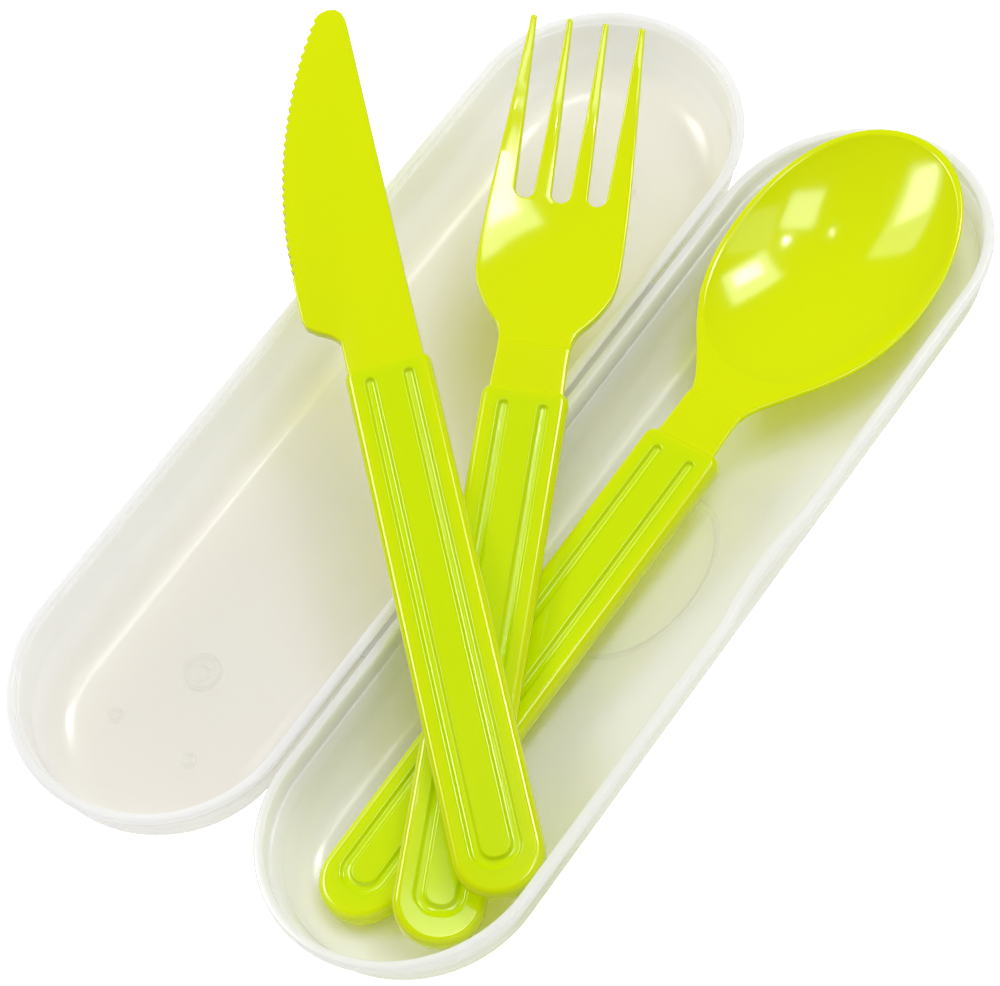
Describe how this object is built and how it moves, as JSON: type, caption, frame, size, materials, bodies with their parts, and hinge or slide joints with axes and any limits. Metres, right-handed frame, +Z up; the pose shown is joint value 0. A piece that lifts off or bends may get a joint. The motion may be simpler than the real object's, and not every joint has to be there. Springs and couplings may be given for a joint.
{
  "type": "cutlery set in a hinged case",
  "caption": "Open long clamshell case with round ends, a thin folding hinge, and a grooved-handle knife, fork and spoon lying in and across it.",
  "frame": {"origin": "centre of the flat underside of the tray half of the case", "axes": "+Y along the case, from the handles' ends to the spoon's bowl; +X from the hinge to the tray's free long side; +Z up"},
  "size_m": [0.1423, 0.2044, 0.0449],
  "materials": {
    "milky_plastic": "natural polypropylene, milky and see-through, smooth satin moulding",
    "lime_plastic": "lime green moulded plastic, glossy, slightly translucent"
  },
  "bodies": {
    "tray": {"case_base": "milky_plastic", "living_hinge": "milky_plastic", "knife": "lime_plastic", "fork": "lime_plastic", "spoon": "lime_plastic"},
    "lid": {"case_lid": "milky_plastic"}
  },
  "joints": [
    {"name": "lid_fold", "type": "hinge", "parent": "tray", "child": "lid", "pos_m": [-0.0292, 0, 0.016], "axis": [0, 1, 0], "range_deg": [-30, 8.5]}
  ]
}
